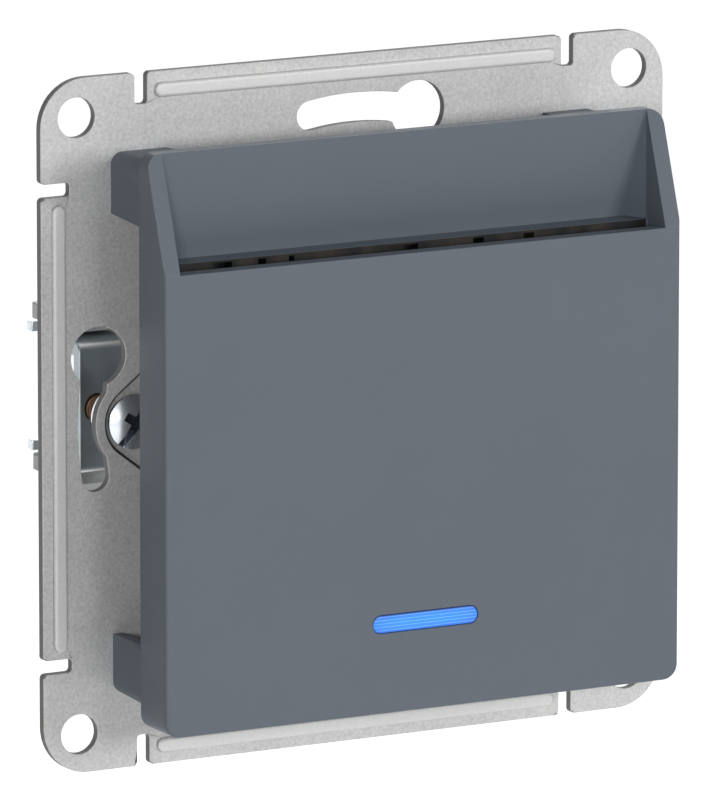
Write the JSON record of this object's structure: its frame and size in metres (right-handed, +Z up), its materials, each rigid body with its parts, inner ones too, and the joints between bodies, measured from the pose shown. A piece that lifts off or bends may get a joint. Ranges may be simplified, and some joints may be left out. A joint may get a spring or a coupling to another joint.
{
  "type": "hotel key card switch",
  "caption": "Wall switch that is on while a key card stands in its slot, with a steel support plate, spreader claws, push-in terminals and a lit window.",
  "frame": {"origin": "middle of the support plate's back face, which lies on the wall, at the centre of its four corner holes", "axes": "+X right as seen from the room, +Y into the wall, +Z up"},
  "size_m": [0.071, 0.0372, 0.071],
  "materials": {
    "zinc_sheet": "galvanised sheet, satin",
    "claw_zinc": "zinc plated, bluish passivated, satin",
    "zinc_steel": "zinc plated",
    "spring_steel": "bright spring steel",
    "slate_plastic": "fine satin moulding, slate grey",
    "black_moulding": "matt moulding",
    "grey_moulding": "light grey moulding",
    "white_moulding": "natural acetal",
    "orange_moulding": "orange moulding",
    "blue_window": "translucent blue, finely ribbed",
    "blue_lamp": "water clear lamp body",
    "board": "green glass epoxy",
    "black_chip": "black chip body",
    "brass_strip": "rolled brass",
    "bronze_strip": "rolled phosphor bronze",
    "silver_rivet": "silver contact"
  },
  "bodies": {
    "housing": {"support_plate": "zinc_sheet", "front_cover": "slate_plastic", "light_guide": "blue_window", "base_housing": "grey_moulding", "mechanism_cap": "black_moulding", "card_guide": "black_moulding", "card_springs": "spring_steel", "lever_pin": "zinc_steel", "lever_spring": "spring_steel", "rocker_pin": "zinc_steel", "rocker_spring": "spring_steel", "live_bar": "brass_strip", "load_bar": "brass_strip", "load_contact": "silver_rivet", "neutral_bar": "brass_strip", "clamp_spring_live": "spring_steel", "clamp_spring_load": "spring_steel", "clamp_spring_neutral": "spring_steel", "indicator_board": "board", "indicator_led": "blue_lamp", "board_resistors": "black_chip", "board_pins": "brass_strip", "chassis_screws": "zinc_steel"},
    "card_lever": {"card_lever": "black_moulding"},
    "plunger": {"plunger": "white_moulding"},
    "contact_rocker": {"contact_rocker": "bronze_strip", "rocker_contact": "silver_rivet"},
    "release_button_live": {"release_button_live": "orange_moulding"},
    "release_button_load": {"release_button_load": "orange_moulding"},
    "release_button_neutral": {"release_button_neutral": "orange_moulding"},
    "screw_collar_left": {"screw_collar_left": "zinc_steel"},
    "claw_screw_left": {"claw_screw_left": "zinc_steel"},
    "claw_left": {"claw_left": "claw_zinc"},
    "screw_collar_right": {"screw_collar_right": "zinc_steel"},
    "claw_screw_right": {"claw_screw_right": "zinc_steel"},
    "claw_right": {"claw_right": "claw_zinc"}
  },
  "joints": [
    {"name": "card_lever_turn", "type": "hinge", "parent": "housing", "child": "card_lever", "pos_m": [0, -0.0045, -0.014], "axis": [1, 0, 0], "range_deg": [0, 34], "stiffness_Nm_per_rad": 0.004, "springref_deg": -20.05, "deforming": ["lever_spring"]},
    {"name": "plunger_slide", "type": "slide", "parent": "housing", "child": "plunger", "axis": [0, 1, 0], "range_m": [0, 0.00187]},
    {"name": "rocker_turn", "type": "hinge", "parent": "housing", "child": "contact_rocker", "pos_m": [0, 0.00855, -0.01], "axis": [1, 0, 0], "range_deg": [0, 14.9], "deforming": ["rocker_spring"]},
    {"name": "release_live", "type": "slide", "parent": "housing", "child": "release_button_live", "axis": [0, -1, 0], "range_m": [0, 0.0018], "stiffness_N_per_m": 2500, "springref_m": -0.0008, "deforming": ["clamp_spring_live"]},
    {"name": "release_load", "type": "slide", "parent": "housing", "child": "release_button_load", "axis": [0, -1, 0], "range_m": [0, 0.0018], "stiffness_N_per_m": 2500, "springref_m": -0.0008, "deforming": ["clamp_spring_load"]},
    {"name": "release_neutral", "type": "slide", "parent": "housing", "child": "release_button_neutral", "axis": [0, -1, 0], "range_m": [0, 0.0018], "stiffness_N_per_m": 2500, "springref_m": -0.0008, "deforming": ["clamp_spring_neutral"]},
    {"name": "claw_swing_left", "type": "hinge", "parent": "housing", "child": "screw_collar_left", "pos_m": [-0.0252, -0.00216, 0], "axis": [0, 0, 1], "range_deg": [0, 12]},
    {"name": "claw_screw_turn_left", "type": "hinge", "parent": "screw_collar_left", "child": "claw_screw_left", "pos_m": [-0.0252, 0, 0], "axis": [0, 1, 0], "range_deg": [0, 2160]},
    {"name": "claw_draw_left", "type": "slide", "parent": "screw_collar_left", "child": "claw_left", "axis": [0, -1, 0], "range_m": [0, 0.003]},
    {"name": "claw_swing_right", "type": "hinge", "parent": "housing", "child": "screw_collar_right", "pos_m": [0.0252, -0.00216, 0], "axis": [0, 0, -1], "range_deg": [0, 12]},
    {"name": "claw_screw_turn_right", "type": "hinge", "parent": "screw_collar_right", "child": "claw_screw_right", "pos_m": [0.0252, 0, 0], "axis": [0, 1, 0], "range_deg": [0, 2160]},
    {"name": "claw_draw_right", "type": "slide", "parent": "screw_collar_right", "child": "claw_right", "axis": [0, -1, 0], "range_m": [0, 0.003]}
  ],
  "couplings": [
    {"joint": "card_lever_turn", "follows": "plunger_slide", "rad_per_m": 317.16},
    {"joint": "rocker_turn", "follows": "plunger_slide", "rad_per_m": 138.98},
    {"joint": "claw_screw_turn_left", "follows": "claw_draw_left", "rad_per_m": 12566},
    {"joint": "claw_swing_left", "follows": "claw_draw_left", "rad_per_m": 69.81},
    {"joint": "claw_screw_turn_right", "follows": "claw_draw_right", "rad_per_m": 12566},
    {"joint": "claw_swing_right", "follows": "claw_draw_right", "rad_per_m": 69.81}
  ]
}
